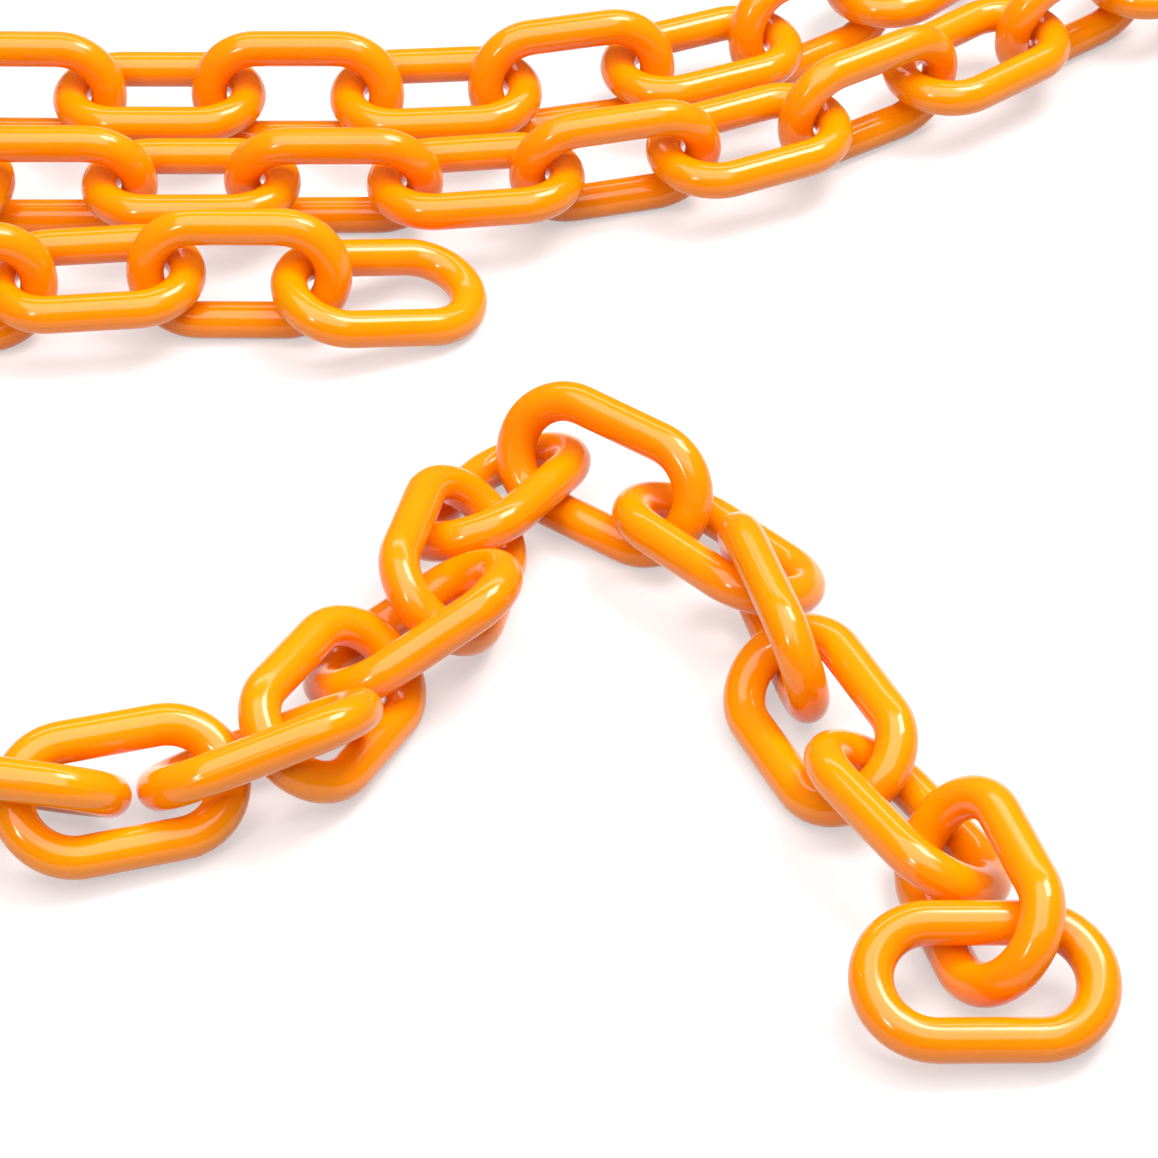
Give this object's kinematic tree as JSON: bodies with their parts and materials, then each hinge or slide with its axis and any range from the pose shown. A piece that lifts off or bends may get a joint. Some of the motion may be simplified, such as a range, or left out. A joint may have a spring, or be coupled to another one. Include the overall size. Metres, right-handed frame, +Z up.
{
  "type": "plastic barrier chain",
  "caption": "Length of plastic barrier chain with oval round-bar links, laid on a floor in a heap of side-by-side rows with one loose strand.",
  "frame": {"origin": "on the floor, under the middle of the outline of the whole chain as laid", "axes": "+Z up; +Y from the loose strand towards the heap, whose rows run along X"},
  "size_m": [0.397, 0.3954, 0.0299],
  "materials": {
    "orange_plastic": "glossy"
  },
  "bodies": {
    "link_01": {"link_01": "orange_plastic"},
    "link_02": {"link_02": "orange_plastic"},
    "link_03": {"link_03": "orange_plastic"},
    "link_04": {"link_04": "orange_plastic"},
    "link_05": {"link_05": "orange_plastic"},
    "link_06": {"link_06": "orange_plastic"},
    "link_07": {"link_07": "orange_plastic"},
    "link_08": {"link_08": "orange_plastic"},
    "link_09": {"link_09": "orange_plastic"},
    "link_10": {"link_10": "orange_plastic"},
    "link_11": {"link_11": "orange_plastic"},
    "link_12": {"link_12": "orange_plastic"},
    "link_13": {"link_13": "orange_plastic"},
    "link_14": {"link_14": "orange_plastic"},
    "link_15": {"link_15": "orange_plastic"},
    "link_16": {"link_16": "orange_plastic"},
    "link_17": {"link_17": "orange_plastic"},
    "link_18": {"link_18": "orange_plastic"},
    "link_19": {"link_19": "orange_plastic"},
    "link_20": {"link_20": "orange_plastic"},
    "link_21": {"link_21": "orange_plastic"},
    "link_22": {"link_22": "orange_plastic"},
    "link_23": {"link_23": "orange_plastic"},
    "link_24": {"link_24": "orange_plastic"},
    "link_25": {"link_25": "orange_plastic"},
    "link_26": {"link_26": "orange_plastic"},
    "link_27": {"link_27": "orange_plastic"},
    "link_28": {"link_28": "orange_plastic"},
    "link_29": {"link_29": "orange_plastic"},
    "link_30": {"link_30": "orange_plastic"},
    "link_31": {"link_31": "orange_plastic"},
    "link_32": {"link_32": "orange_plastic"},
    "link_33": {"link_33": "orange_plastic"},
    "link_34": {"link_34": "orange_plastic"},
    "link_35": {"link_35": "orange_plastic"},
    "link_36": {"link_36": "orange_plastic"},
    "link_37": {"link_37": "orange_plastic"},
    "link_38": {"link_38": "orange_plastic"},
    "link_39": {"link_39": "orange_plastic"},
    "link_40": {"link_40": "orange_plastic"},
    "link_41": {"link_41": "orange_plastic"},
    "link_42": {"link_42": "orange_plastic"},
    "link_43": {"link_43": "orange_plastic"},
    "link_44": {"link_44": "orange_plastic"},
    "link_45": {"link_45": "orange_plastic"},
    "link_46": {"link_46": "orange_plastic"},
    "link_47": {"link_47": "orange_plastic"},
    "link_48": {"link_48": "orange_plastic"},
    "link_49": {"link_49": "orange_plastic"},
    "link_50": {"link_50": "orange_plastic"},
    "link_51": {"link_51": "orange_plastic"},
    "link_52": {"link_52": "orange_plastic"},
    "link_53": {"link_53": "orange_plastic"}
  },
  "joints": [
    {"name": "swing_01_02", "type": "hinge", "parent": "link_01", "child": "link_02", "pos_m": [0.11256, -0.1724, 0.01334], "axis": [-0.7546, -0.1878, 0.6287], "range_deg": [-12, 12]},
    {"name": "swing_02_03", "type": "hinge", "parent": "link_02", "child": "link_03", "pos_m": [0.1076, -0.15511, 0.01255], "axis": [-0.7546, -0.1878, 0.6287], "range_deg": [-7, 12]},
    {"name": "swing_03_04", "type": "hinge", "parent": "link_03", "child": "link_04", "pos_m": [0.09392, -0.13662, 0.01111], "axis": [-0.4955, -0.2911, -0.8184], "range_deg": [-12, 12]},
    {"name": "swing_04_05", "type": "hinge", "parent": "link_04", "child": "link_05", "pos_m": [0.08032, -0.10988, 0.01079], "axis": [0.4899, 0.2711, -0.8285], "range_deg": [-12, 12]},
    {"name": "swing_05_06", "type": "hinge", "parent": "link_05", "child": "link_06", "pos_m": [0.07301, -0.07686, 0.011], "axis": [0.2815, 0.294, 0.9134], "range_deg": [-12, 12]},
    {"name": "swing_06_07", "type": "hinge", "parent": "link_06", "child": "link_07", "pos_m": [0.05197, -0.05681, 0.01354], "axis": [0.422, 0.7575, -0.4981], "range_deg": [-12, 12]},
    {"name": "swing_07_08", "type": "hinge", "parent": "link_07", "child": "link_08", "pos_m": [0.02742, -0.04636, 0.00908], "axis": [0.2973, -0.3258, -0.8975], "range_deg": [-12, 12]},
    {"name": "swing_08_09", "type": "hinge", "parent": "link_08", "child": "link_09", "pos_m": [0.01824, -0.06164, 0.01158], "axis": [0.2973, -0.3258, -0.8975], "range_deg": [-12, 12]},
    {"name": "swing_09_10", "type": "hinge", "parent": "link_09", "child": "link_10", "pos_m": [0.01522, -0.09141, 0.01554], "axis": [-0.471, 0.2702, 0.8397], "range_deg": [-6, 12]},
    {"name": "swing_10_11", "type": "hinge", "parent": "link_10", "child": "link_11", "pos_m": [-0.00245, -0.10693, 0.01071], "axis": [-0.5836, 0.1763, -0.7927], "range_deg": [-12, 12]},
    {"name": "swing_11_12", "type": "hinge", "parent": "link_11", "child": "link_12", "pos_m": [-0.01028, -0.12299, 0.0129], "axis": [0.5836, -0.1763, 0.7927], "range_deg": [-8, 12]},
    {"name": "swing_12_13", "type": "hinge", "parent": "link_12", "child": "link_13", "pos_m": [-0.03544, -0.13483, 0.01096], "axis": [0.2199, -0.4531, 0.8639], "range_deg": [-12, 12]},
    {"name": "swing_13_14", "type": "hinge", "parent": "link_13", "child": "link_14", "pos_m": [-0.05242, -0.14068, 0.01221], "axis": [0.2199, -0.4531, 0.8639], "range_deg": [-12, 12]},
    {"name": "swing_14_15", "type": "hinge", "parent": "link_14", "child": "link_15", "pos_m": [-0.07448, -0.13617, 0.01409], "axis": [0.135, 0.7427, 0.6558], "range_deg": [-12, 12]},
    {"name": "swing_15_16", "type": "hinge", "parent": "link_15", "child": "link_16", "pos_m": [-0.11696, -0.13372, 0.01385], "axis": [0.1659, 0.8801, 0.4449], "range_deg": [-12, 12]},
    {"name": "swing_16_17", "type": "hinge", "parent": "link_16", "child": "link_17", "pos_m": [-0.13464, -0.13039, 0.01385], "axis": [0.1659, 0.8801, 0.4449], "range_deg": [-12, 12]},
    {"name": "swing_17_18", "type": "hinge", "parent": "link_17", "child": "link_18", "pos_m": [-0.16746, -0.10458, 0.01496], "axis": [-0.8263, -0.5563, -0.0879], "range_deg": [-12, 12]},
    {"name": "swing_18_19", "type": "hinge", "parent": "link_18", "child": "link_19", "pos_m": [-0.17751, -0.08965, 0.01496], "axis": [0.8263, 0.5563, 0.0879], "range_deg": [-12, 12]},
    {"name": "swing_19_20", "type": "hinge", "parent": "link_19", "child": "link_20", "pos_m": [-0.18152, -0.04677, 0.01487], "axis": [-0.9832, 0.0982, -0.1536], "range_deg": [-12, 12]},
    {"name": "swing_20_21", "type": "hinge", "parent": "link_20", "child": "link_21", "pos_m": [-0.17973, -0.02886, 0.01487], "axis": [0.9832, -0.0982, 0.1536], "range_deg": [-12, 12]},
    {"name": "swing_21_22", "type": "hinge", "parent": "link_21", "child": "link_22", "pos_m": [-0.17532, 0.01528, 0.01481], "axis": [0.9775, -0.0976, 0.1869], "range_deg": [-12, 12]},
    {"name": "swing_22_23", "type": "hinge", "parent": "link_22", "child": "link_23", "pos_m": [-0.17353, 0.03319, 0.01481], "axis": [-0.9775, 0.0976, -0.1869], "range_deg": [-12, 12]},
    {"name": "swing_23_24", "type": "hinge", "parent": "link_23", "child": "link_24", "pos_m": [-0.15644, 0.06847, 0.01493], "axis": [-0.3286, 0.9376, -0.114], "range_deg": [-12, 12]},
    {"name": "swing_24_25", "type": "hinge", "parent": "link_24", "child": "link_25", "pos_m": [-0.13946, 0.07442, 0.01493], "axis": [-0.3286, 0.9376, -0.114], "range_deg": [-12, 12]},
    {"name": "swing_25_26", "type": "hinge", "parent": "link_25", "child": "link_26", "pos_m": [-0.09543, 0.08017, 0.01495], "axis": [0.0133, 0.9952, -0.0968], "range_deg": [-12, 12]},
    {"name": "swing_26_27", "type": "hinge", "parent": "link_26", "child": "link_27", "pos_m": [-0.07743, 0.07993, 0.01495], "axis": [0.0133, 0.9952, -0.0968], "range_deg": [-12, 12]},
    {"name": "swing_27_28", "type": "hinge", "parent": "link_27", "child": "link_28", "pos_m": [-0.03288, 0.0797, 0.01483], "axis": [0.0007, -0.9848, 0.1737], "range_deg": [-12, 12]},
    {"name": "swing_28_29", "type": "hinge", "parent": "link_28", "child": "link_29", "pos_m": [-0.01488, 0.07972, 0.01483], "axis": [0.0007, -0.9848, 0.1737], "range_deg": [-12, 12]},
    {"name": "swing_29_30", "type": "hinge", "parent": "link_29", "child": "link_30", "pos_m": [0.02907, 0.0842, 0.01483], "axis": [0.2286, -0.9579, 0.1735], "range_deg": [-12, 12]},
    {"name": "swing_30_31", "type": "hinge", "parent": "link_30", "child": "link_31", "pos_m": [0.04657, 0.08838, 0.01483], "axis": [0.2286, -0.9579, 0.1735], "range_deg": [-12, 12]},
    {"name": "swing_31_32", "type": "hinge", "parent": "link_31", "child": "link_32", "pos_m": [0.08666, 0.10652, 0.01495], "axis": [-0.578, 0.8103, -0.0967], "range_deg": [-12, 12]},
    {"name": "swing_32_33", "type": "hinge", "parent": "link_32", "child": "link_33", "pos_m": [0.10132, 0.11698, 0.01495], "axis": [0.578, -0.8103, 0.0967], "range_deg": [-12, 12]},
    {"name": "swing_33_34", "type": "hinge", "parent": "link_33", "child": "link_34", "pos_m": [0.13179, 0.14883, 0.01493], "axis": [0.8363, -0.5362, 0.1142], "range_deg": [-12, 12]},
    {"name": "swing_34_35", "type": "hinge", "parent": "link_34", "child": "link_35", "pos_m": [0.1415, 0.16399, 0.01493], "axis": [0.8363, -0.5362, 0.1142], "range_deg": [-12, 12]},
    {"name": "swing_35_36", "type": "hinge", "parent": "link_35", "child": "link_36", "pos_m": [0.17177, 0.17085, 0.01481], "axis": [-0.8727, -0.4511, 0.187], "range_deg": [-3, 12]},
    {"name": "swing_36_37", "type": "hinge", "parent": "link_36", "child": "link_37", "pos_m": [0.18003, 0.15486, 0.01481], "axis": [0.8727, 0.4511, -0.187], "range_deg": [-12, 3]},
    {"name": "swing_37_38", "type": "hinge", "parent": "link_37", "child": "link_38", "pos_m": [0.16228, 0.12069, 0.01487], "axis": [0.602, -0.7837, -0.1533], "range_deg": [-12, 12]},
    {"name": "swing_38_39", "type": "hinge", "parent": "link_38", "child": "link_39", "pos_m": [0.14801, 0.10973, 0.01487], "axis": [0.602, -0.7837, -0.1533], "range_deg": [-12, 12]},
    {"name": "swing_39_40", "type": "hinge", "parent": "link_39", "child": "link_40", "pos_m": [0.11216, 0.08327, 0.01496], "axis": [-0.5382, 0.8382, 0.0879], "range_deg": [-12, 12]},
    {"name": "swing_40_41", "type": "hinge", "parent": "link_40", "child": "link_41", "pos_m": [0.09701, 0.07354, 0.01496], "axis": [-0.5382, 0.8382, 0.0879], "range_deg": [-12, 12]},
    {"name": "swing_41_42", "type": "hinge", "parent": "link_41", "child": "link_42", "pos_m": [0.05625, 0.05587, 0.0149], "axis": [0.2401, -0.9611, -0.1365], "range_deg": [-12, 12]},
    {"name": "swing_42_43", "type": "hinge", "parent": "link_42", "child": "link_43", "pos_m": [0.03879, 0.05151, 0.0149], "axis": [-0.2401, 0.9611, 0.1365], "range_deg": [-12, 12]},
    {"name": "swing_43_44", "type": "hinge", "parent": "link_43", "child": "link_44", "pos_m": [-0.00518, 0.04648, 0.0148], "axis": [-0.0074, 0.9816, 0.1907], "range_deg": [-12, 12]},
    {"name": "swing_44_45", "type": "hinge", "parent": "link_44", "child": "link_45", "pos_m": [-0.02318, 0.04634, 0.0148], "axis": [-0.0074, 0.9816, 0.1907], "range_deg": [-12, 12]},
    {"name": "swing_45_46", "type": "hinge", "parent": "link_45", "child": "link_46", "pos_m": [-0.0676, 0.04621, 0.01491], "axis": [-0.0003, -0.9915, -0.1303], "range_deg": [-12, 12]},
    {"name": "swing_46_47", "type": "hinge", "parent": "link_46", "child": "link_47", "pos_m": [-0.0856, 0.04622, 0.01491], "axis": [0.0003, 0.9915, 0.1303], "range_deg": [-12, 12]},
    {"name": "swing_47_48", "type": "hinge", "parent": "link_47", "child": "link_48", "pos_m": [-0.12223, 0.03429, 0.01496], "axis": [-0.9099, 0.4052, 0.0893], "range_deg": [-12, 12]},
    {"name": "swing_48_49", "type": "hinge", "parent": "link_48", "child": "link_49", "pos_m": [-0.12956, 0.01785, 0.01496], "axis": [0.9099, -0.4052, -0.0893], "range_deg": [-12, 12]},
    {"name": "swing_49_50", "type": "hinge", "parent": "link_49", "child": "link_50", "pos_m": [-0.10272, 0.00319, 0.01486], "axis": [-0.2763, 0.9478, -0.1592], "range_deg": [-1, 12]},
    {"name": "swing_50_51", "type": "hinge", "parent": "link_50", "child": "link_51", "pos_m": [-0.08544, 0.00823, 0.01486], "axis": [-0.2763, 0.9478, -0.1592], "range_deg": [-2, 12]},
    {"name": "swing_51_52", "type": "hinge", "parent": "link_51", "child": "link_52", "pos_m": [-0.04154, 0.01309, 0.01481], "axis": [-0.0108, -0.9828, 0.1843], "range_deg": [-12, 4]},
    {"name": "swing_52_53", "type": "hinge", "parent": "link_52", "child": "link_53", "pos_m": [-0.02355, 0.0129, 0.01481], "axis": [0.0108, 0.9828, -0.1843], "range_deg": [-6, 12]}
  ]
}
